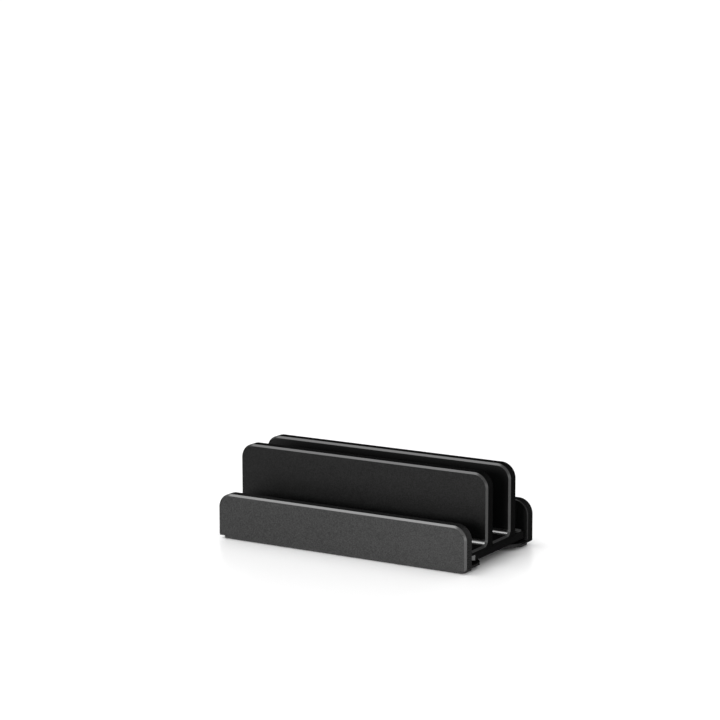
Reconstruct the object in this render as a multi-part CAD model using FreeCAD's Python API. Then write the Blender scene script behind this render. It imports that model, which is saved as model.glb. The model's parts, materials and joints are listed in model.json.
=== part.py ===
"""Three-slot upright stand for a laptop, a tablet and a phone, in anodised aluminium.

Two cross rails carry two tall uprights, and a low wall with a foot flange slides out at each end.
Frame: millimetres, +X along the slots, +Y towards the back, +Z up.
Origin: centre of the footprint, on the surface that the stand rests on.
"""
import FreeCAD, Part
import math
import os

Vector = FreeCAD.Vector

# ---------------------------------------------------------------- driving dimensions, in mm
# Plates
length = 150.0                  # every plate, along X
plate_thickness = 6.5           # low walls and tall uprights
low_wall_height = 24.6          # top of the low walls above the ground
upright_height = 47.6           # top of the tall uprights above the ground
corner_radius = 8.0             # top corners of every plate
broad_chamfer = 1.0             # bright chamfer round the front outline of a plate
edge_break = 0.4                # small chamfer on the other edges

# Slots, from metal to metal, with the stand closed
front_slot_width = 15.6
middle_slot_width = 18.2
rear_slot_width = 13.8

# Slot floors, which are the forward legs of the uprights
floor_thickness = 2.5
floor_fillet = 2.5              # inside corner between floor and upright
floor_gap = 0.3                 # between a floor's front edge and the plate before it

# Foot flanges, which are the inward legs of the low walls
foot_strip_height = 1.8         # how far the rubber lifts the metal off the ground
foot_strip_width = 10.0
foot_strip_seat = 0.4           # depth of the strip's seat in the flange
foot_strip_end_inset = 2.0
foot_strip_side_inset = 1.2
flange_thickness = 1.7
flange_end_margin = 0.45        # flange left beyond the clamp spacers
flange_corner_radius = 8.0
flange_fillet = 0.8             # inside corner between wall and flange
bottom_corner_cut = 0.8         # 45 degree cut on the bottom corners of a low wall

# Cross rails
rail_height = 4.0
rail_width = 20.0
rail_end_inset = 1.5            # from the ends of the plates
rail_front_cut = 5.5            # 45 degree cut on the plan corners of a rail's front end
rail_back_radius = 1.5          # plan corners of its back end
rail_wall_gap = 0.4             # between a rail's end and the low wall
flange_rail_gap = 1.0           # filled by the spacers
channel_offset = 4.7            # each channel's centre line from the rail's centre line

# Travel
wall_travel = 5.5               # each low wall, outwards
upright_travel = 6.0            # rear upright, backwards

# M3 fasteners
screw_radius = 1.5
thread_clearance = 0.05         # on the radius, between a screw and its thread
hole_clearance = 0.2            # on the radius, between a screw and a plain hole
countersink_radius = 3.0
countersink_margin = 0.05       # the head sits this far inside the flange's underside
clamp_screw_reach = 0.1         # past the top of the slot nut
low_head_radius = 2.75
low_head_height = 1.6
upright_screw_length = 10.0
tapped_depth = 9.5              # of the holes in the uprights' bottom edges
socket_across_flats = 2.0
socket_depth = 0.9
washer_radius = 3.0
washer_thickness = 0.5
spacer_radius = 3.75
nut_side = 5.5
nut_height = 1.8
nut_channel_clearance = 0.15    # each side of the nut and above it
nut_lip_height = 1.2            # rail metal below the nut
head_channel_clearance = 0.2    # each side of the washer
head_channel_margin = 0.1       # the head sits this far inside the rail's underside
nut_end_margin = 1.15           # rail left beyond a slot nut with its wall slid right out

# Silicone pads
pad_thickness = 0.8             # side pads and rail pads
floor_pad_thickness = 1.1
floor_pad_seat = 0.5
floor_pad_margin = 1.2          # from the edges of the flat of the floor
floor_pad_end_inset = 10.0
pad_corner_radius = 2.5
side_pad_end_inset = 13.0
upright_pad_rise = 4.0          # from the slot floor to the pad
upright_pad_drop = 9.6          # from the upright's top to the pad
wall_pad_rise = 1.5
wall_pad_drop = 4.1
rail_pad_margin = 1.0

# ---------------------------------------------------------------- places that follow
half_length = length / 2
depth = 4 * plate_thickness + front_slot_width + middle_slot_width + rear_slot_width
front_face = -depth / 2
front_wall_back = front_face + plate_thickness
front_upright_face = front_wall_back + front_slot_width
front_upright_back = front_upright_face + plate_thickness
rear_upright_face = front_upright_back + middle_slot_width
rear_upright_back = rear_upright_face + plate_thickness
rear_wall_face = rear_upright_back + rear_slot_width

flange_top = foot_strip_height + flange_thickness
rail_bottom = flange_top + flange_rail_gap
rail_top = rail_bottom + rail_height
floor_top = rail_top + floor_thickness

rail_centre_x = half_length - rail_end_inset - rail_width / 2
nut_channel_x = rail_centre_x - channel_offset
head_channel_x = rail_centre_x + channel_offset
rail_front = front_wall_back + rail_wall_gap
rail_back = rear_wall_face - rail_wall_gap
clamp_position = plate_thickness + rail_wall_gap + nut_end_margin + nut_side / 2 + wall_travel
flange_depth = clamp_position + spacer_radius + flange_end_margin
nut_bottom = rail_bottom + nut_lip_height
head_channel_roof = rail_bottom + head_channel_margin + low_head_height + washer_thickness
upright_screw_inset = plate_thickness / 2


# ---------------------------------------------------------------- shapes used by many pieces
def box(x0, x1, y0, y1, z0, z1):
    return Part.makeBox(x1 - x0, y1 - y0, z1 - z0, Vector(x0, y0, z0))


def post(x, y, radius, z0, z1):
    """Upright cylinder."""
    return Part.makeCylinder(radius, z1 - z0, Vector(x, y, z0))


def obround(x, y0, y1, radius, z0, z1):
    """Upright prism with round ends, centred on a line along Y."""
    middle = box(x - radius, x + radius, y0, y1, z0, z1)
    return middle.fuse([post(x, y0, radius, z0, z1), post(x, y1, radius, z0, z1)]).removeSplitter()


def rounded_wire(corners, place):
    """Closed wire round (u, v, radius) corners; place turns (u, v) into a point."""
    edges = []
    ends = []
    count = len(corners)
    for i in range(count):
        u, v, radius = corners[i]
        here = Vector(u, v, 0)
        before = Vector(corners[i - 1][0], corners[i - 1][1], 0) - here
        after = Vector(corners[(i + 1) % count][0], corners[(i + 1) % count][1], 0) - here
        before.normalize()
        after.normalize()
        half_angle = before.getAngle(after) / 2
        reach = radius / math.tan(half_angle)
        bisector = before + after
        bisector.normalize()
        middle = here + bisector * (radius / math.sin(half_angle) - radius)
        ends.append((here + before * reach, middle, here + after * reach, radius))
    for i in range(count):
        start, middle, end, radius = ends[i]
        if radius > 0:
            edges.append(Part.Arc(place(start), place(middle), place(end)).toShape())
        edges.append(Part.LineSegment(place(end), place(ends[(i + 1) % count][0])).toShape())
    return Part.Wire(edges)


def upright_prism(x0, x1, z0, z1, bottom_radius, top_radius, y0, y1):
    """Plate standing along X, with rounded bottom and top corners."""
    corners = [(x0, z0, bottom_radius), (x1, z0, bottom_radius),
               (x1, z1, top_radius), (x0, z1, top_radius)]
    wire = rounded_wire(corners, lambda p: Vector(p.x, y0, p.y))
    return Part.Face(wire).extrude(Vector(0, y1 - y0, 0))


def flat_prism(corners, z0, z1):
    """Flat plate with (x, y, radius) corners."""
    wire = rounded_wire(corners, lambda p: Vector(p.x, p.y, z0))
    return Part.Face(wire).extrude(Vector(0, 0, z1 - z0))


def rounded_box(x0, x1, y0, y1, radius, z0, z1):
    corners = [(x0, y0, radius), (x1, y0, radius), (x1, y1, radius), (x0, y1, radius)]
    return flat_prism(corners, z0, z1)


def inside_fillet(y, z, radius, side):
    """Concave strip along X that fills the corner at (y, z); side is +1 towards +Y and -1 towards -Y."""
    y0, y1 = sorted((y, y + side * radius))
    block = box(-half_length, half_length, y0, y1, z, z + radius)
    start = Vector(-half_length, y + side * radius, z + radius)
    return block.cut(Part.makeCylinder(radius, length, start, Vector(1, 0, 0)))


def edges_where(shape, test):
    """Edges whose two ends and middle all pass the test."""
    found = []
    for edge in shape.Edges:
        middle = edge.valueAt((edge.FirstParameter + edge.LastParameter) / 2)
        points = [vertex.Point for vertex in edge.Vertexes] + [middle]
        if all(test(point) for point in points):
            found.append(edge)
    return found


def near(a, b):
    return abs(a - b) < 1e-4


def chamfer_outline(shape, y, z_low, size):
    """Chamfer the sides, corners and top of the plate face that lies at y, above z_low."""
    edges = edges_where(shape, lambda p: near(p.y, y) and p.z > z_low - 1e-4)
    edges = [edge for edge in edges if edge.BoundBox.ZMax > z_low + 1e-3]
    return shape.makeChamfer(size, edges)


def hexagon(x, y, across_flats, z0, z1):
    radius = across_flats / math.sqrt(3)
    turns = [math.radians(60 * i) for i in range(6)]
    points = [Vector(x + radius * math.cos(turn), y + radius * math.sin(turn), z0) for turn in turns]
    return Part.Face(Part.makePolygon(points + points[:1])).extrude(Vector(0, 0, z1 - z0))


def turned(shape):
    """The same piece at the other end of the stand, turned half round about Z."""
    copy = shape.copy()
    copy.rotate(Vector(0, 0, 0), Vector(0, 0, 1), 180)
    return copy


def both_rails(make, x):
    """Two of the same small piece, one at each rail."""
    return Part.makeCompound([make(x), make(-x)])


# ---------------------------------------------------------------- low walls
def front_wall():
    """Low wall with rounded top corners, and the foot flange that runs in under the rails."""
    wall = upright_prism(-half_length, half_length, foot_strip_height, low_wall_height,
                         0, corner_radius, front_face, front_wall_back)
    wall = chamfer_outline(wall, front_face, foot_strip_height, broad_chamfer)
    wall = chamfer_outline(wall, front_wall_back, flange_top + flange_fillet, edge_break)
    flange_end = front_face + flange_depth
    corners = [(-half_length, front_wall_back, 0), (half_length, front_wall_back, 0),
               (half_length, flange_end, flange_corner_radius),
               (-half_length, flange_end, flange_corner_radius)]
    flange = flat_prism(corners, foot_strip_height, flange_top)
    fillet = inside_fillet(front_wall_back, flange_top, flange_fillet, 1)
    body = wall.fuse([flange, fillet]).removeSplitter()
    body = body.cut(foot_strip())
    for side in (-1, 1):
        body = body.cut(bottom_corner_wedge(side))
        body = body.cut(countersunk_hole(side * nut_channel_x, front_face + clamp_position))
    return body


def bottom_corner_wedge(side):
    """Three-cornered bar along Y that cuts one bottom corner off a low wall and its flange."""
    x = side * half_length
    z = foot_strip_height
    points = [Vector(x, front_face - 1, z), Vector(x - side * bottom_corner_cut, front_face - 1, z),
              Vector(x, front_face - 1, z + bottom_corner_cut), Vector(x, front_face - 1, z)]
    return Part.Face(Part.makePolygon(points)).extrude(Vector(0, flange_depth + 2, 0))


def countersunk_hole(x, y):
    """Clearance hole through the flange, with its countersink open below."""
    radius = screw_radius + hole_clearance
    hole = post(x, y, radius, foot_strip_height - 1, flange_top + 1)
    mouth = countersink_radius + hole_clearance
    cone = Part.makeCone(mouth, radius, mouth - radius, Vector(x, y, foot_strip_height))
    return hole.fuse(cone)


def foot_strip():
    """Rubber strip under a low wall, let into its underside."""
    y0 = front_face + foot_strip_side_inset
    end = half_length - foot_strip_end_inset
    return rounded_box(-end, end, y0, y0 + foot_strip_width, foot_strip_width / 4, 0,
                       foot_strip_height + foot_strip_seat)


def wall_pad():
    """Silicone pad on the slot side of a low wall."""
    end = half_length - side_pad_end_inset
    return upright_prism(-end, end, floor_top + wall_pad_rise, low_wall_height - wall_pad_drop,
                         pad_corner_radius, pad_corner_radius,
                         front_wall_back, front_wall_back + pad_thickness)


def clamp_screw(x):
    """Countersunk screw with a hex socket, from below through the flange into the slot nut."""
    y = front_face + clamp_position
    z = foot_strip_height + countersink_margin
    head_height = countersink_radius - screw_radius
    head = Part.makeCone(countersink_radius, screw_radius, head_height, Vector(x, y, z))
    shank = post(x, y, screw_radius, z + head_height,
                 nut_bottom + nut_height + clamp_screw_reach)
    return head.fuse(shank).removeSplitter().cut(hexagon(x, y, socket_across_flats, z, z + socket_depth))


def clamp_spacer(x):
    """Round spacer between the flange and the rail."""
    y = front_face + clamp_position
    ring = post(x, y, spacer_radius, flange_top, rail_bottom)
    return ring.cut(post(x, y, screw_radius + hole_clearance, flange_top, rail_bottom))


def slot_nut(x):
    """Square nut that slides in the rail's nut channel."""
    y = front_face + clamp_position
    half = nut_side / 2
    block = box(x - half, x + half, y - half, y + half, nut_bottom, nut_bottom + nut_height)
    return block.cut(post(x, y, screw_radius + thread_clearance, nut_bottom, nut_bottom + nut_height))


# ---------------------------------------------------------------- rails
def rail(side):
    """Flat extruded bar along Y with a nut channel and a screw-head channel open below."""
    x = side * rail_centre_x
    half = rail_width / 2
    cut = rail_front_cut
    corners = [(x - half + cut, rail_front, 0), (x + half - cut, rail_front, 0),
               (x + half, rail_front + cut, 0), (x + half, rail_back, rail_back_radius),
               (x - half, rail_back, rail_back_radius), (x - half, rail_front + cut, 0)]
    bar = flat_prism(corners, rail_bottom, rail_top)
    rims = edges_where(bar, lambda p: near(p.z, rail_top) or near(p.z, rail_bottom))
    rims = [edge for edge in rims if near(edge.BoundBox.ZMin, edge.BoundBox.ZMax)]
    bar = bar.makeChamfer(edge_break, rims)
    bar = bar.cut(nut_channel(side * nut_channel_x))
    bar = bar.cut(head_channel(side * head_channel_x))
    bar = bar.cut(upright_screw_slot(side * head_channel_x, front_upright_face + upright_screw_inset, 0))
    bar = bar.cut(upright_screw_slot(side * head_channel_x, rear_upright_face + upright_screw_inset,
                                     upright_travel))
    return bar


def nut_channel(x):
    """T-shaped channel for the slot nuts, the whole length of the rail."""
    wide = nut_side / 2 + nut_channel_clearance
    mouth = screw_radius + hole_clearance
    top = nut_bottom + nut_height + nut_channel_clearance
    cavity = box(x - wide, x + wide, rail_front - 1, rail_back + 1, nut_bottom, top)
    slit = box(x - mouth, x + mouth, rail_front - 1, rail_back + 1, rail_bottom - 1, nut_bottom)
    return cavity.fuse(slit)


def head_channel(x):
    """Plain channel that hides the heads of the uprights' screws."""
    half = washer_radius + head_channel_clearance
    return box(x - half, x + half, rail_front - 1, rail_back + 1, rail_bottom - 1, head_channel_roof)


def upright_screw_slot(x, y, travel):
    """Hole through the rail for an upright's screw, drawn out along Y by its travel."""
    radius = screw_radius + hole_clearance
    if travel == 0:
        return post(x, y, radius, rail_bottom, rail_top + 1)
    return obround(x, y, y + travel, radius, rail_bottom, rail_top + 1)


def rail_pad(side):
    """Silicone pad on top of a rail, in the rear slot, clear of the rear upright's travel."""
    x = side * rail_centre_x
    half = rail_width / 2 - rail_pad_margin
    start = rear_upright_back + pad_thickness + upright_travel + rail_pad_margin
    return rounded_box(x - half, x + half, start, rail_back - rail_pad_margin, rail_back_radius,
                       rail_top, rail_top + pad_thickness)


# ---------------------------------------------------------------- tall uprights
def upright(face, floor_front):
    """Tall plate and its slot floor, one L-shaped extrusion; face is the y of the plate's front."""
    back = face + plate_thickness
    plate = upright_prism(-half_length, half_length, rail_top, upright_height,
                          0, corner_radius, face, back)
    leg = box(-half_length, half_length, floor_front, face, rail_top, floor_top)
    fillet = inside_fillet(face, floor_top, floor_fillet, -1)
    body = plate.fuse([leg, fillet]).removeSplitter()
    body = body.makeChamfer(broad_chamfer, inner_outline(body, face))
    body = chamfer_outline(body, back, rail_top, edge_break)
    body = body.cut(floor_pad(face, floor_front))
    for side in (-1, 1):
        hole = post(side * head_channel_x, face + upright_screw_inset, screw_radius + thread_clearance,
                    rail_top, rail_top + tapped_depth)
        body = body.cut(hole)
    return body


def inner_outline(body, face):
    """Edges of an upright's slot side: its end edges, fillet ends, sides, corners and top."""
    def on_slot_side(p):
        on_end = near(abs(p.x), half_length)
        on_face = near(p.y, face) and p.z > floor_top + floor_fillet - 1e-3
        in_fillet = face - floor_fillet - 1e-3 < p.y < face + 1e-3 and floor_top - 1e-3 < p.z
        on_floor = near(p.z, floor_top) and p.y < face
        return on_face or (on_end and (in_fillet or on_floor))

    edges = edges_where(body, on_slot_side)
    across = edges_where(body, lambda p: near(p.y, face) and near(p.z, floor_top + floor_fillet))
    return [edge for edge in edges if not any(edge.isSame(other) for other in across)]


def floor_pad(face, floor_front):
    """Silicone strip let into a slot's floor."""
    end = half_length - floor_pad_end_inset
    y0 = floor_front + floor_pad_margin
    y1 = face - floor_fillet - floor_pad_margin
    z0 = floor_top - floor_pad_seat
    return rounded_box(-end, end, y0, y1, pad_corner_radius, z0, z0 + floor_pad_thickness)


def upright_pad(y):
    """Silicone pad on the side of an upright."""
    end = half_length - side_pad_end_inset
    return upright_prism(-end, end, floor_top + upright_pad_rise, upright_height - upright_pad_drop,
                         pad_corner_radius, pad_corner_radius, y, y + pad_thickness)


def upright_screw(y):
    """Maker of low-head screws that stand at y and reach up into an upright's bottom edge."""
    def make(x):
        under_head = head_channel_roof - washer_thickness
        bottom = under_head - low_head_height
        head = post(x, y, low_head_radius, bottom, under_head)
        shank = post(x, y, screw_radius, under_head, under_head + upright_screw_length)
        socket = hexagon(x, y, socket_across_flats, bottom, bottom + socket_depth)
        return head.fuse(shank).removeSplitter().cut(socket)
    return make


def upright_washer(y):
    """Maker of washers between a screw's head and the roof of the head channel."""
    def make(x):
        z0 = head_channel_roof - washer_thickness
        ring = post(x, y, washer_radius, z0, head_channel_roof)
        return ring.cut(post(x, y, screw_radius + hole_clearance, z0, head_channel_roof))
    return make


# ---------------------------------------------------------------- the whole stand
def pieces():
    front_floor = front_wall_back + floor_gap
    middle_floor = front_upright_back + floor_gap
    front_screw_y = front_upright_face + upright_screw_inset
    rear_screw_y = rear_upright_face + upright_screw_inset
    return {
        "front_wall": front_wall(),
        "front_foot_strip": foot_strip(),
        "front_wall_pad": wall_pad(),
        "front_clamp_screws": both_rails(clamp_screw, nut_channel_x),
        "front_clamp_spacers": both_rails(clamp_spacer, nut_channel_x),
        "front_slot_nuts": both_rails(slot_nut, nut_channel_x),
        "rear_wall": turned(front_wall()),
        "rear_foot_strip": turned(foot_strip()),
        "rear_wall_pad": turned(wall_pad()),
        "rear_clamp_screws": turned(both_rails(clamp_screw, nut_channel_x)),
        "rear_clamp_spacers": turned(both_rails(clamp_spacer, nut_channel_x)),
        "rear_slot_nuts": turned(both_rails(slot_nut, nut_channel_x)),
        "left_rail": rail(-1),
        "right_rail": rail(1),
        "left_rail_pad": rail_pad(-1),
        "right_rail_pad": rail_pad(1),
        "front_upright": upright(front_upright_face, front_floor),
        "front_slot_floor_pad": floor_pad(front_upright_face, front_floor),
        "front_upright_back_pad": upright_pad(front_upright_back),
        "front_upright_screws": both_rails(upright_screw(front_screw_y), head_channel_x),
        "front_upright_washers": both_rails(upright_washer(front_screw_y), head_channel_x),
        "rear_upright": upright(rear_upright_face, middle_floor),
        "middle_slot_floor_pad": floor_pad(rear_upright_face, middle_floor),
        "rear_upright_front_pad": upright_pad(rear_upright_face - pad_thickness),
        "rear_upright_back_pad": upright_pad(rear_upright_back),
        "rear_upright_screws": both_rails(upright_screw(rear_screw_y), head_channel_x),
        "rear_upright_washers": both_rails(upright_washer(rear_screw_y), head_channel_x),
    }


os.makedirs("parts", exist_ok=True)
for name, shape in pieces().items():
    shape.exportStep("parts/" + name + ".step")
    print(name, len(shape.Solids), "solids, volume", round(shape.Volume, 1), "valid", shape.isValid())
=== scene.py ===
"""Looks of the three-slot upright stand: finer meshes, finishes, floor, light and camera.

Metres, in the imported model's frame: +X along the slots, +Y towards the back, +Z up.
The low walls and the tall uprights are bent plates, each made of two skins and the strips that join
them round the rim. The pads and the foot strips are thin slabs with rounded edges.
"""

import json
import math

import bmesh
import bpy
import numpy as np
from mathutils import Matrix, Vector

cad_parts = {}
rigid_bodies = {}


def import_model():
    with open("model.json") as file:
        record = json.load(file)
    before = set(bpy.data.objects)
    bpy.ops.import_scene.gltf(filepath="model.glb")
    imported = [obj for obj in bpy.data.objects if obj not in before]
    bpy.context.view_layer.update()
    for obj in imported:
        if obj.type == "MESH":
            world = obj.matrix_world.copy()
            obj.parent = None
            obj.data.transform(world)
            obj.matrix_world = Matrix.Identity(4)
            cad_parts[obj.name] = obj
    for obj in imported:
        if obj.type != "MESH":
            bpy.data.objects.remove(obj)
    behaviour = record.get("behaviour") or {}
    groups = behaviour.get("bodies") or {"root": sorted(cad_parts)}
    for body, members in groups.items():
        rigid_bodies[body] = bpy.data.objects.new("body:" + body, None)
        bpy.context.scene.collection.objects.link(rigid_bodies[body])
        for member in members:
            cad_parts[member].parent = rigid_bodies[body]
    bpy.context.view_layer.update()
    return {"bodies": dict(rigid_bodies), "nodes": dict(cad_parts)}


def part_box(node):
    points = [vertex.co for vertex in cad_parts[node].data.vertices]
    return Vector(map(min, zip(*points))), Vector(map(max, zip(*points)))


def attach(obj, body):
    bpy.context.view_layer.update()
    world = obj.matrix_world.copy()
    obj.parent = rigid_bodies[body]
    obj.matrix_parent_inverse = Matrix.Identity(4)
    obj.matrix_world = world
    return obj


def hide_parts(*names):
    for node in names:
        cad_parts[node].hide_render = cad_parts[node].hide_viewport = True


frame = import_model()

MM = 0.001

# ---------------------------------------------------------------- sizes of the details
CORNER_RADIUS = 8.0 * MM            # top corners of every plate
BROAD_CHAMFER = 1.0 * MM            # cut round the front outline of a plate
EDGE_BREAK = 0.4 * MM               # cut on the back outline
BOTTOM_CUT = 0.8 * MM               # cut on the bottom corners of a low wall
FLOOR_THICKNESS = 2.5 * MM          # forward leg of a tall upright
FLOOR_FILLET = 2.5 * MM
FLANGE_RADIUS = 8.0 * MM            # plan corners of a low wall's foot flange
FLANGE_FILLET = 0.8 * MM
HOLE_RADIUS = 1.7 * MM              # clamp screw holes in the flanges
COUNTERSINK_RADIUS = 3.2 * MM
PAD_CORNER = 2.5 * MM               # corners of the pads and the foot strips
PAD_ROUNDING = 0.35 * MM            # rounded edges of the silicone
RUBBER_ROUNDING = 0.5 * MM
EDGE_ROUNDING = 0.12 * MM           # what tumbling leaves on the metal's edges
FIT_GAP = 0.02 * MM                 # keeps two touching faces from flickering
MERGE_DISTANCE = 1e-7               # points closer than this are one point

# ---------------------------------------------------------------- fineness of the meshes
CORNER_ROWS = 25                    # along a quarter turn of a large corner
FILLET_ROWS = 12                    # along a small fillet; even, half of it before the bend
HOLE_STEPS = 48                     # round a screw hole; even
ROUNDING_ROWS = 5                   # across a rounded edge of a slab
EDGE_ROUNDING_STEPS = 2
SHARP_ANGLE = math.radians(28)      # edges sharper than this are rounded
FLAT_WEIGHT = 80                    # how far large flat faces rule the normals round them

# Material places on a metal piece; a plate without the fillet finish, which paints a highlight on
# its milled fillet, has no last one
BLASTED, CUT, WORN, MILLED_HIGHLIGHT = range(4)


# ---------------------------------------------------------------- surfaces
class Skin:
    """Patches of one closed surface, gathered as points and faces and merged at the end."""

    def __init__(self):
        self.points = []
        self.faces = []
        self.finishes = []
        self.count = 0

    def add(self, points, faces, finish=0):
        """A patch; its faces are rows of point numbers, counted from the patch's first point."""
        self.points.append(np.asarray(points, float).reshape(-1, 3))
        self.faces += (np.asarray(faces) + self.count).tolist()
        self.finishes += [finish] * len(faces)
        self.count += len(self.points[-1])

    def grid(self, rows, finish=0, closed=False):
        """Quads between neighbouring points of rows; closed joins each row's end to its start."""
        rows = np.asarray(rows, float)
        down, along = rows.shape[:2]
        index = np.arange(down * along).reshape(down, along)
        right = np.roll(index, -1, axis=1)
        keep = slice(None) if closed else slice(0, along - 1)
        corners = [index[:-1, keep], index[1:, keep], right[1:, keep], right[:-1, keep]]
        self.add(rows, np.stack(corners, axis=-1).reshape(-1, 4), finish)

    def sheet(self, outline, finish=0):
        """One flat face inside an outline."""
        self.add(outline, [range(len(outline))], finish)

    def piece(self, name, materials):
        """The object: doubled points merged, faces turned outwards, place kept in the mesh."""
        mesh = bpy.data.meshes.new(name)
        mesh.from_pydata(np.concatenate(self.points).tolist(), [], self.faces)
        mesh.polygons.foreach_set("material_index", self.finishes)
        mesh.polygons.foreach_set("use_smooth", [True] * len(self.faces))
        work = bmesh.new()
        work.from_mesh(mesh)
        bmesh.ops.remove_doubles(work, verts=work.verts, dist=MERGE_DISTANCE)
        bmesh.ops.dissolve_degenerate(work, edges=work.edges, dist=MERGE_DISTANCE)
        bmesh.ops.recalc_face_normals(work, faces=work.faces)
        work.to_mesh(mesh)
        work.free()
        for material in materials:
            mesh.materials.append(material)
        made = bpy.data.objects.new(name, mesh)
        bpy.context.scene.collection.objects.link(made)
        return made


def rows_of(x, y, z):
    """Rows of points from numbers and arrays of one length."""
    return np.stack(np.broadcast_arrays(x, y, z), axis=-1).astype(float)


def both_sides(half):
    """A closed line from its right half: the half, then its mirror image in X, walked back."""
    return np.concatenate([half, (half * (-1, 1, 1))[::-1]])


def across(half):
    """Two-column rows between a right half line and its mirror image."""
    return np.stack([half, half * (-1, 1, 1)], axis=1)


def quarter(count):
    """Sine and cosine over a quarter turn."""
    turn = np.linspace(0, math.pi / 2, count)
    return np.sin(turn), np.cos(turn)


def top_corner(half, top, inset, y):
    """Rounded corner of a plate: a quarter circle about the corner's centre, less the inset."""
    sine, cosine = quarter(CORNER_ROWS)
    reach = CORNER_RADIUS - inset
    return rows_of(half - CORNER_RADIUS + reach * cosine, y, top - CORNER_RADIUS + reach * sine)


def bend(y, z, radius, inset, side):
    """Inside fillet of an L section: a quarter circle about (y, z), an inset deeper in the metal."""
    sine, cosine = quarter(FILLET_ROWS)
    return y + side * (radius + inset) * sine, z - (radius + inset) * cosine


def weigh_normals(piece):
    """Lets the large faces rule the normals, so that flats stay flat."""
    shading = piece.modifiers.new("shading", "WEIGHTED_NORMAL")
    shading.weight = FLAT_WEIGHT
    return piece


def finish_edges(piece):
    """Rounds a metal piece's sharp edges a little and weighs its normals."""
    rounding = piece.modifiers.new("rounding", "BEVEL")
    rounding.width = EDGE_ROUNDING
    rounding.segments = EDGE_ROUNDING_STEPS
    rounding.limit_method = "ANGLE"
    rounding.angle_limit = SHARP_ANGLE
    rounding.material = WORN
    return weigh_normals(piece)


# ---------------------------------------------------------------- tall uprights
def upright(name, face):
    """Tall plate and its slot floor.

    Four lines run round each half of it: the edge of the slot-side skin, the rim after the broad
    chamfer, the rim before the back edge break, and the edge of the back skin. Strips join them,
    point for point.
    """
    low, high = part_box(name)
    half, back, bottom, top = high.x, high.y, low.z + FIT_GAP, high.z
    floor_front, floor_top = low.y, low.z + FLOOR_THICKNESS
    c, e, r = BROAD_CHAMFER, EDGE_BREAK, FLOOR_FILLET
    centre_y, centre_z = face - r, floor_top + r
    bend_y, bend_z = bend(centre_y, centre_z, r, 0, 1)
    deep_y, deep_z = bend(centre_y, centre_z, r, c, 1)
    half_rows = FILLET_ROWS // 2
    under_y = np.linspace(centre_y, back - e, half_rows)
    behind_z = np.linspace(bottom, centre_z, half_rows)

    slot_edge = np.concatenate([
        rows_of(half - c, [floor_front], floor_top),
        rows_of(half - c, bend_y, bend_z),
        top_corner(half, top, c, face)])
    slot_rim = np.concatenate([
        rows_of(half, [floor_front], floor_top - c),
        rows_of(half, deep_y, deep_z),
        top_corner(half, top, 0, face + c)])
    back_rim = np.concatenate([
        rows_of(half, [floor_front], bottom),
        rows_of(half, under_y, bottom),
        rows_of(half, back - e, behind_z),
        top_corner(half, top, 0, back - e)])
    back_edge = np.concatenate([
        rows_of(half, [floor_front], bottom),
        rows_of(half, under_y, bottom),
        rows_of(half - e, back, behind_z),
        top_corner(half, top, e, back)])

    skin = Skin()
    skin.grid(across(slot_edge[:2]), BLASTED)
    skin.grid(across(slot_edge[1:FILLET_ROWS + 1]), MILLED_HIGHLIGHT)
    skin.grid(across(slot_edge[FILLET_ROWS:]), BLASTED)
    skin.grid([both_sides(slot_edge), both_sides(slot_rim)], CUT, closed=True)
    skin.grid([both_sides(slot_rim), both_sides(back_rim)], BLASTED, closed=True)
    skin.grid([both_sides(back_rim), both_sides(back_edge)], BLASTED, closed=True)
    skin.grid(across(back_edge), BLASTED)
    return finish_edges(skin.piece(name + "_plate", shaded_upright_metal))


# ---------------------------------------------------------------- low walls
def hole_arc(x, y, z, radius, start, end):
    """Part of a circle round a screw's axis, from one angle to another, in half turns."""
    turn = np.linspace(start, end, HOLE_STEPS // 2 + 1) * math.pi
    return rows_of(x + radius * np.cos(turn), y + radius * np.sin(turn), z)


def hole_ring(x, y, z, radius):
    """Whole circle round a screw's axis, at the same steps as the two half arcs."""
    halves = [hole_arc(x, y, z, radius, start, start + 1)[:-1] for start in (0, 1)]
    return np.concatenate(halves)


def holed_sheets(skin, edge, split, x, y, radius):
    """Flat skin inside a line and its mirror image, with two round holes centred on one row.

    The row through the holes parts it in two faces, and each face runs round its half of the holes.
    """
    z = edge[0, 2]
    for rows, sign in ((edge[:split + 1], 1), (edge[split:][::-1], -1)):
        right = hole_arc(x, y, z, radius, sign, 0)
        left = hole_arc(-x, y, z, radius, sign, 0)
        skin.sheet(np.concatenate([rows, right[::-1], left[::-1], (rows * (-1, 1, 1))[::-1]]))


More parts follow.
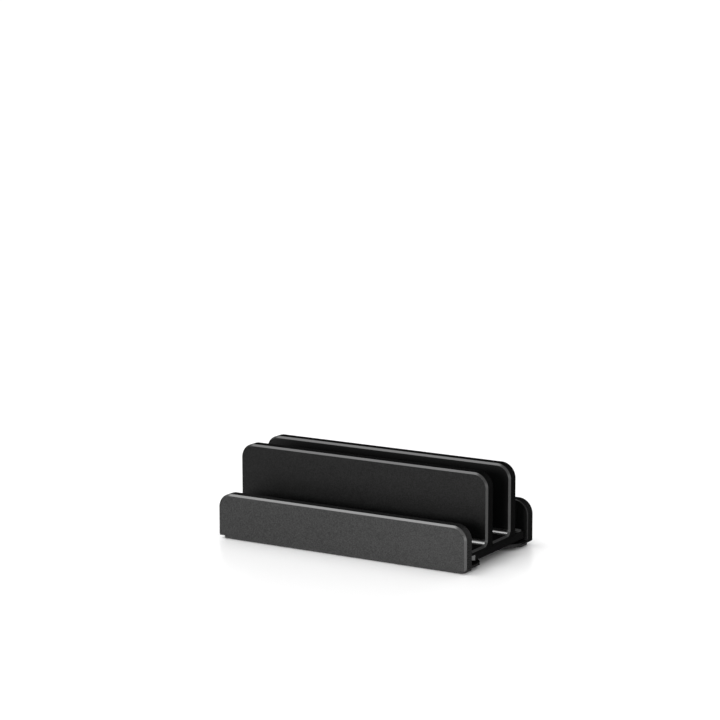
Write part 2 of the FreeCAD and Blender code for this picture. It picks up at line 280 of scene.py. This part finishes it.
def low_wall(name, pad, spacers, turned):
    """Low wall with its foot flange; the rear one is the front one turned half round.

    Four lines run round each half of it, as on an upright: the edge of the slot-side skin, its rim,
    the rim of the front skin, and that skin's edge. They start at the flange's end, and one point of
    its rounded corner lies on the row through the screw holes.
    """
    turn = -1 if turned else 1
    low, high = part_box(name)
    half, bottom, top = high.x, low.z, high.z
    front, flange_end = sorted((turn * low.y, turn * high.y))
    back = min(turn * side.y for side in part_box(pad))
    spacer_low, spacer_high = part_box(spacers)
    flange_top = spacer_low.z
    spacer_radius = (spacer_high.y - spacer_low.y) / 2
    hole_x, hole_y = spacer_high.x - spacer_radius, turn * (spacer_high.y + spacer_low.y) / 2
    c, e, r, cut = BROAD_CHAMFER, EDGE_BREAK, FLANGE_FILLET, BOTTOM_CUT

    corner_y = flange_end - FLANGE_RADIUS
    at_hole = math.asin((hole_y - corner_y) / FLANGE_RADIUS)
    before = np.linspace(math.pi / 2, at_hole, CORNER_ROWS // 2 + 1)
    after = np.linspace(at_hole, 0, CORNER_ROWS // 2)[1:]
    swing = np.concatenate([before, after])
    split = len(before) - 1
    flange_x = half - FLANGE_RADIUS + FLANGE_RADIUS * np.cos(swing)
    flange_y = corner_y + FLANGE_RADIUS * np.sin(swing)
    lifted = np.maximum(0, flange_x - (half - cut))

    # The edge break is nothing on the flange and grows to its full width along the fillet.
    growth = np.linspace(0, e, FILLET_ROWS)
    bend_y, bend_z = bend(back + r, flange_top + r, r, 0, -1)
    deep_y, deep_z = bend(back + r, flange_top + r, r, growth, -1)
    half_rows = FILLET_ROWS // 2
    side_y = np.linspace(back + r, front + c, half_rows)
    under_y = np.linspace(back + r, front + c - cut, half_rows)
    side_z = np.linspace(bottom + cut, flange_top + r, half_rows)
    front_z = np.linspace(bottom, flange_top + r, half_rows)

    slot_edge = np.concatenate([
        rows_of(flange_x, flange_y, flange_top),
        rows_of(half - growth, bend_y, bend_z),
        top_corner(half, top, e, back)])
    slot_rim = np.concatenate([
        rows_of(flange_x, flange_y, flange_top),
        rows_of(half, deep_y, deep_z),
        top_corner(half, top, 0, back - e)])
    front_rim = np.concatenate([
        rows_of(flange_x, flange_y, bottom + lifted),
        rows_of(half, side_y, bottom + cut),
        rows_of(half, front + c, side_z),
        top_corner(half, top, 0, front + c)])
    front_edge = np.concatenate([
        rows_of(flange_x - lifted, flange_y, bottom),
        rows_of(half - cut, under_y, bottom),
        rows_of(half - c, front, front_z),
        top_corner(half, top, c, front)])

    skin = Skin()
    flat_above = len(swing) + 1
    flat_below = len(swing) + half_rows + 1
    holed_sheets(skin, slot_edge[:flat_above], split, hole_x, hole_y, HOLE_RADIUS)
    skin.grid(across(slot_edge[flat_above - 1:]), BLASTED)
    skin.grid([both_sides(slot_edge), both_sides(slot_rim)], BLASTED, closed=True)
    skin.grid([both_sides(slot_rim), both_sides(front_rim)], BLASTED, closed=True)
    skin.grid([both_sides(front_rim), both_sides(front_edge)], CUT, closed=True)
    holed_sheets(skin, front_edge[:flat_below], split, hole_x, hole_y, COUNTERSINK_RADIUS)
    skin.grid(across(front_edge[flat_below - 1:]), BLASTED)
    # A countersink is a cone of 90 degrees, so it is as deep as it is wider than the hole.
    mouth = bottom + COUNTERSINK_RADIUS - HOLE_RADIUS
    levels = ((flange_top, HOLE_RADIUS), (mouth, HOLE_RADIUS), (bottom, COUNTERSINK_RADIUS))
    for x in (-hole_x, hole_x):
        rings = [hole_ring(x, hole_y, z, radius) for z, radius in levels]
        skin.grid(rings, CUT, closed=True)
    skin.points = [points * (turn, turn, 1) for points in skin.points]
    return finish_edges(skin.piece(name + "_plate", shaded_rear_metal if turned else lit_front_metal))


# ---------------------------------------------------------------- pads and foot strips
def rounded_half(half, low, high, radius, inset):
    """Right half of a rounded rectangle: two quarter circles, each less the inset."""
    sine, cosine = quarter(CORNER_ROWS // 2)
    reach = radius - inset
    u = half - radius + reach * np.concatenate([cosine[::-1], cosine])
    v = np.concatenate([low + radius - reach * sine[::-1], high - radius + reach * sine])
    return u, v


def slab(name, low, high, axis, outward, radius, rounding, material):
    """Thin slab whose outline is a rounded rectangle and whose outer edge is a quarter round.

    axis is the direction of its thickness, 1 for Y or 2 for Z, and outward the side that shows. Over
    a quarter turn, an outline is inset by the rounding times one less the cosine, and set back from
    the face by the rounding times one less the sine.
    """
    low, high = np.array(low), np.array(high)
    other = 3 - axis
    seat, face = (low[axis], high[axis]) if outward > 0 else (high[axis], low[axis])
    sine, cosine = quarter(ROUNDING_ROWS)
    insets = np.concatenate([[0], rounding * (1 - cosine)])
    levels = np.concatenate([[seat], face - outward * rounding * (1 - sine)])
    halves = []
    for inset, level in zip(insets, levels):
        u, v = rounded_half(high[0], low[other], high[other], radius, inset)
        points = np.zeros((len(u), 3))
        points[:, 0], points[:, axis], points[:, other] = u, level, v
        halves.append(points)
    skin = Skin()
    skin.grid([both_sides(half) for half in halves], closed=True)
    skin.grid(across(halves[0]))
    skin.grid(across(halves[-1]))
    return weigh_normals(skin.piece(name, [material]))


# ---------------------------------------------------------------- finishes
class Value:
    """A shader socket that takes part in Python arithmetic: each operator adds a Math node."""

    def __init__(self, finish, socket):
        self.finish = finish
        self.socket = socket

    def math(self, operation, first, second):
        """One Math node on two values or numbers."""
        return self.finish.node("ShaderNodeMath", {"operation": operation}, {0: first, 1: second})

    def __add__(self, other):
        return self.math("ADD", self, other)

    def __radd__(self, other):
        return self.math("ADD", other, self)

    def __sub__(self, other):
        return self.math("SUBTRACT", self, other)

    def __rsub__(self, other):
        return self.math("SUBTRACT", other, self)

    def __mul__(self, other):
        return self.math("MULTIPLY", self, other)

    def __rmul__(self, other):
        return self.math("MULTIPLY", other, self)


# Places of a Mix node's colour sockets
MIX_SHARE, MIX_FIRST, MIX_SECOND, MIX_RESULT = 0, 6, 7, 2


class Finish:
    """One material: a Principled shader and the nodes that vary it over the surface."""

    def __init__(self, name):
        self.material = bpy.data.materials.new(name)
        self.material.use_nodes = True
        self.tree = self.material.node_tree
        self.shader = self.tree.nodes["Principled BSDF"]
        self.place = self.node("ShaderNodeTexCoord", {}, {}, "Object")

    def node(self, kind, settings, inputs, output=0):
        """Adds a node, makes its settings, then gives its sockets their values or links."""
        made = self.tree.nodes.new(kind)
        for key, value in settings.items():
            if key == "stops":
                self.set_stops(made.color_ramp, value)
            else:
                setattr(made, key, value)
        for key, value in inputs.items():
            self.feed(made.inputs[key], value)
        return Value(self, made.outputs[output])

    def set_stops(self, ramp, stops):
        """Puts a ramp's greys at their positions."""
        for i, (position, value) in enumerate(stops):
            stop = ramp.elements[i] if i < 2 else ramp.elements.new(position)
            stop.position = position
            stop.color = (value, value, value, 1)

    def feed(self, socket, value):
        """Links a value to a socket, or sets a constant on it."""
        if isinstance(value, Value):
            self.tree.links.new(value.socket, socket)
        else:
            socket.default_value = value

    def noise(self, scale, detail=2.0, roughness=0.5, stretch=None):
        """Noise on Object coordinates, from 0 to 1; a stretch is the scale of each axis."""
        place = self.place
        if stretch:
            place = self.node("ShaderNodeMapping", {}, {"Vector": place, "Scale": stretch})
        inputs = {"Vector": place, "Scale": scale, "Detail": detail, "Roughness": roughness}
        return self.node("ShaderNodeTexNoise", {"noise_dimensions": "3D"}, inputs)

    def ramp(self, value, start, end):
        """0 up to the start, 1 from the end on, and a straight line between."""
        stops = ((start, 0.0), (end, 1.0))
        return self.node("ShaderNodeValToRGB", {"stops": stops}, {"Fac": value})

    def blend(self, share, first, second):
        """Colour between two colours, by a share from 0 to 1."""
        inputs = {MIX_SHARE: share, MIX_FIRST: (*first, 1), MIX_SECOND: (*second, 1)}
        return self.node("ShaderNodeMix", {"data_type": "RGBA"}, inputs, MIX_RESULT)

    def bump(self, height, strength, distance):
        """Normal tilted by a height that is the distance times a value from 0 to 1."""
        inputs = {"Height": height, "Strength": strength, "Distance": distance}
        return self.node("ShaderNodeBump", {}, inputs)

    def set(self, **inputs):
        """Gives the shader its values; an underscore in a key stands for a space."""
        for key, value in inputs.items():
            self.feed(self.shader.inputs[key.replace("_", " ")], value)
        return self.material


def grey(level, warmth=0.0):
    """A grey, a little warmer or cooler."""
    return (level * (1 + warmth), level, level * (1 - warmth))


# The dye layer swallows light that skims it, so the metal doesn't whiten at grazing angles.
DULL_AT_GRAZING = (0.15, 0.15, 0.15, 1)


def blasted_grain(finish):
    """Fine pits of bead blasting, with the roughness and the normal that they give."""
    grain = finish.noise(scale=2000, detail=3.0, roughness=0.6)
    return grain, 0.36 + 0.16 * grain, finish.bump(grain, strength=0.25, distance=0.03 * MM)


def blasted_aluminium(name, shade):
    """Bead-blasted and dark anodised: fine grain, faint clouds in the dye, a soft sheen."""
    finish = Finish(name)
    grain, roughness, normal = blasted_grain(finish)
    clouds = finish.noise(scale=28)
    share = finish.ramp(grain, 0.3, 0.7) * 0.85 + clouds * 0.15
    colour = finish.blend(share, grey(0.024 * shade), grey(0.058 * shade))
    return finish.set(Base_Color=colour, Metallic=1.0, Roughness=roughness,
                      Specular_Tint=DULL_AT_GRAZING, Normal=normal)


def cut_aluminium(name, shade):
    """Cut chamfer: the same dye on a smoother face, with fine tool lines along it."""
    finish = Finish(name)
    lines = finish.noise(scale=900, stretch=(0.05, 1.0, 1.0))
    colour = finish.blend(lines, grey(0.075 * shade), grey(0.105 * shade))
    return finish.set(Base_Color=colour, Metallic=1.0, Roughness=0.24 + 0.12 * lines,
                      Specular_Tint=DULL_AT_GRAZING,
                      Normal=finish.bump(lines, strength=0.15, distance=0.02 * MM))


def worn_aluminium(name, shade):
    """Edges where handling has thinned the dye, in patches."""
    finish = Finish(name)
    patches = finish.ramp(finish.noise(scale=160, detail=4.0, roughness=0.65), 0.42, 0.68)
    colour = finish.blend(patches, grey(0.045 * shade), grey(0.11 * shade))
    return finish.set(Base_Color=colour, Metallic=1.0, Roughness=0.34 - 0.08 * patches,
                      Specular_Tint=DULL_AT_GRAZING)


def plate_metal(name, blasted, cut, worn):
    """A plate's finishes, in the order of its material places, from the shade of each; the shades
    paint the light and shade that falls on each plate.
    """
    return [blasted_aluminium(name + "_blasted", blasted), cut_aluminium(name + "_cut", cut),
            worn_aluminium(name + "_worn", worn)]


def rail_aluminium():
    """Blasted rails in the uprights' darker painted shade, with a painted highlight on the cut
    corners of their front ends, which the normal finds.

    The mask is the square of the normal's X times its forward part: it is nought on faces that look
    along either axis.
    """
    finish = Finish("rail_blasted_highlit")
    grain, roughness, bumped = blasted_grain(finish)
    normal = finish.node("ShaderNodeTexCoord", {}, {}, "Normal")
    sideways = finish.node("ShaderNodeSeparateXYZ", {}, {"Vector": normal}, "X")
    lengthways = finish.node("ShaderNodeSeparateXYZ", {}, {"Vector": normal}, "Y")
    # Painted highlight: faces turned sideways and forwards get a far lighter grey than the rest of
    # the rail.
    cut = finish.ramp(sideways * sideways * (0 - lengthways), 0.2, 0.3)
    colour = finish.blend(cut * 0.8 + grain * 0.2, grey(0.01), grey(0.11))
    return finish.set(Base_Color=colour, Metallic=1.0, Roughness=roughness - 0.12 * cut,
                      Specular_Tint=DULL_AT_GRAZING, Normal=bumped)


def silicone():
    """Soft grey silicone with a fine matt skin."""
    finish = Finish("silicone")
    skin = finish.noise(scale=2600)
    clouds = finish.noise(scale=60, detail=3.0)
    colour = finish.blend(clouds * 0.6 + skin * 0.4, grey(0.014), grey(0.028))
    return finish.set(Base_Color=colour, Roughness=0.62 + 0.18 * skin,
                      Normal=finish.bump(skin, strength=0.3, distance=0.05 * MM))


def rubber():
    """Black rubber, matt, with a little dust in its pores."""
    finish = Finish("rubber")
    pores = finish.noise(scale=1800, detail=3.0, roughness=0.6)
    dust = finish.ramp(finish.noise(scale=240, detail=4.0, roughness=0.7), 0.5, 0.8)
    colour = finish.blend(dust * 0.5, grey(0.012), grey(0.045, 0.04))
    return finish.set(Base_Color=colour, Roughness=0.7 + 0.2 * pores,
                      Normal=finish.bump(pores, strength=0.4, distance=0.08 * MM))


def black_steel():
    """Black oxide on steel, with bright specks."""
    finish = Finish("black_steel")
    grain = finish.noise(scale=3000, detail=3.0, roughness=0.6)
    specks = finish.ramp(finish.noise(scale=700, detail=3.0, roughness=0.6), 0.55, 0.75)
    colour = finish.blend(specks, grey(0.03), grey(0.16))
    return finish.set(Base_Color=colour, Metallic=1.0, Roughness=0.32 + 0.2 * grain,
                      Normal=finish.bump(grain, strength=0.2, distance=0.03 * MM))


def zinc_steel():
    """Bright zinc plating, faintly blue, with soft cloudy crystals."""
    finish = Finish("zinc_steel")
    crystals = finish.noise(scale=420, detail=3.0, roughness=0.55)
    colour = finish.blend(crystals, (0.42, 0.45, 0.48), (0.62, 0.64, 0.66))
    return finish.set(Base_Color=colour, Metallic=1.0, Roughness=0.22 + 0.22 * crystals,
                      Normal=finish.bump(crystals, strength=0.15, distance=0.03 * MM))


# Painted light and shade: all the plates are one anodised finish, but the front wall, lit from the
# front, gets lighter greys, and the plates behind it, shaded in and between the slots, get darker
# ones; the rear wall's edges are darkened most, to paint out the light line along them.
lit_front_metal = plate_metal("front", blasted=1.0, cut=0.97, worn=1.0)
shaded_rear_metal = plate_metal("rear", blasted=0.6, cut=0.8, worn=0.25)
shaded_upright_metal = plate_metal("upright", blasted=0.4, cut=0.6, worn=0.5)
# The uprights' milled fillets get a cut finish far lighter than their chamfers: a painted highlight
# along the fillet.
shaded_upright_metal.append(cut_aluminium("milled_fillet_highlight", 1.75))
silicone_finish = silicone()
rubber_finish = rubber()


# ---------------------------------------------------------------- the pieces
def use(piece, body, slot, *nodes):
    """Hangs a piece on its body in place of its CAD nodes."""
    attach(piece, body)
    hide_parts(*nodes)


def node_body(node):
    """Name of the body that carries a CAD node."""
    return next(name for name, obj in frame["bodies"].items() if frame["nodes"][node].parent == obj)


for end, turned in (("front", False), ("rear", True)):
    wall = low_wall(end + "_wall", end + "_wall_pad", end + "_clamp_spacers", turned)
    use(wall, end + "_wall_slider", "dark_anodised_aluminium", end + "_wall")

# A pad lies on its plate, so it starts where the plate's thickness ends.
plate_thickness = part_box("front_wall_pad")[0].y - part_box("front_wall")[0].y
for end in ("front", "rear"):
    node = end + "_upright"
    plate = upright(node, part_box(node)[1].y - plate_thickness)
    use(plate, node_body(node), "dark_anodised_aluminium", node)

# Side pads: the CAD node, and the side of it that shows along Y.
side_pads = {"front_wall_pad": 1, "rear_wall_pad": -1, "front_upright_back_pad": 1,
             "rear_upright_front_pad": -1, "rear_upright_back_pad": 1}
for node, outward in side_pads.items():
    low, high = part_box(node)
    pad = slab(node + "_skin", low, high, 1, outward, PAD_CORNER, PAD_ROUNDING, silicone_finish)
    use(pad, node_body(node), "grey_silicone", node)

# Floor pads show above the upright's floor that they are let into.
floor_pads = {"front_slot_floor_pad": "front_upright", "middle_slot_floor_pad": "rear_upright"}
for node, upright_node in floor_pads.items():
    low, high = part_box(node)
    low.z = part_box(upright_node)[0].z + FLOOR_THICKNESS
    pad = slab(node + "_skin", low, high, 2, 1, PAD_CORNER, PAD_ROUNDING, silicone_finish)
    use(pad, node_body(node), "grey_silicone", node)

# Foot strips show below the flange that they are let into.
for end in ("front", "rear"):
    node = end + "_foot_strip"
    low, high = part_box(node)
    high.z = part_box(end + "_wall")[0].z
    strip = slab(node + "_tread", low, high, 2, -1, PAD_CORNER, RUBBER_ROUNDING, rubber_finish)
    use(strip, node_body(node), "black_rubber", node)

# The other CAD nodes keep their shape and get a finish.
finishes = {
    "dark_anodised_aluminium": rail_aluminium(),
    "black_rubber": rubber_finish,
    "grey_silicone": silicone_finish,
    "blackened_steel": black_steel(),
    "zinc_plated_steel": zinc_steel(),
}
for node in frame["nodes"].values():
    if not node.hide_render:
        for place in node.material_slots:
            place.material = finishes[place.material.name]

# ---------------------------------------------------------------- floor, light and camera
FLOOR_HALF = 30.0
FLOOR_GREY = 0.82
GLOW = 0.95                         # of the white surroundings
STAND_MIDDLE = (0, 0, 0.02)

floor_mesh = bpy.data.meshes.new("floor")
floor_corners = np.array([(-1, -1, 0), (1, -1, 0), (1, 1, 0), (-1, 1, 0)]) * FLOOR_HALF
floor_mesh.from_pydata(floor_corners.tolist(), [], [(0, 1, 2, 3)])
floor = bpy.data.objects.new("floor", floor_mesh)
floor.location.z = -FIT_GAP
bpy.context.scene.collection.objects.link(floor)
floor_finish = Finish("white_floor")
floor_mesh.materials.append(floor_finish.set(Base_Color=(*grey(FLOOR_GREY), 1), Roughness=0.3))

world = bpy.data.worlds.new("studio")
bpy.context.scene.world = world
world.use_nodes = True
world.node_tree.nodes["Background"].inputs["Color"].default_value = (1, 1, 1, 1)
world.node_tree.nodes["Background"].inputs["Strength"].default_value = GLOW


def aim(thing, place, target):
    """Turns a light at a place towards a target."""
    thing.location = place
    thing.rotation_euler = (Vector(target) - Vector(place)).to_track_quat("-Z", "Y").to_euler()
    bpy.context.scene.collection.objects.link(thing)


def sky_panel(name, toward, spread, radiance):
    """Far round panel of light, its spread in degrees.

    Its irradiance is its radiance times pi times the squared sine of its half width.
    """
    light = bpy.data.lights.new(name, "SUN")
    light.angle = math.radians(spread)
    light.energy = radiance * math.pi * math.sin(light.angle / 2) ** 2
    aim(bpy.data.objects.new(name, light), toward, (0, 0, 0))


def softbox(name, place, width, height, radiance):
    """Rectangular light that faces the stand; its power is radiance times pi times area."""
    light = bpy.data.lights.new(name, "AREA")
    light.shape = "RECTANGLE"
    light.size, light.size_y = width, height
    light.energy = radiance * math.pi * width * height
    aim(bpy.data.objects.new(name, light), place, STAND_MIDDLE)


sky_panel("overhead_panel", toward=(-0.42, -0.18, 0.88), spread=40, radiance=3.6)
softbox("front_softbox", place=(0.1, -2.4, 0.4), width=1.0, height=0.7, radiance=26.0)
softbox("side_softbox", place=(1.7, -1.05, 0.3), width=0.8, height=0.5, radiance=2.0)
softbox("back_softbox", place=(0.1, 2.4, 0.6), width=1.2, height=0.9, radiance=5.0)

CAMERA_PLACE = Vector((0.6312, -1.0551, 0.3145))
CAMERA_AZIMUTH = math.radians(31.25)
CAMERA_DROP = math.radians(10.02)
CAMERA_ROLL = math.radians(-0.117)
CAMERA_LENS = 119.5                 # in millimetres, as is the sensor's width
SENSOR_WIDTH = 36.0
backward = Vector((math.sin(CAMERA_AZIMUTH) * math.cos(CAMERA_DROP),
                   -math.cos(CAMERA_AZIMUTH) * math.cos(CAMERA_DROP),
                   math.sin(CAMERA_DROP)))
level = Vector((math.cos(CAMERA_AZIMUTH), math.sin(CAMERA_AZIMUTH), 0))
upward = backward.cross(level)
right = level * math.cos(CAMERA_ROLL) + upward * math.sin(CAMERA_ROLL)
upward = backward.cross(right)
camera = bpy.data.objects.new("camera", bpy.data.cameras.new("camera"))
camera.data.lens = CAMERA_LENS
camera.data.sensor_width = SENSOR_WIDTH
camera.matrix_world = Matrix((
    (right.x, upward.x, backward.x, CAMERA_PLACE.x),
    (right.y, upward.y, backward.y, CAMERA_PLACE.y),
    (right.z, upward.z, backward.z, CAMERA_PLACE.z),
    (0, 0, 0, 1)))
bpy.context.scene.collection.objects.link(camera)
bpy.context.scene.camera = camera
bpy.context.scene.view_settings.view_transform = "Standard"
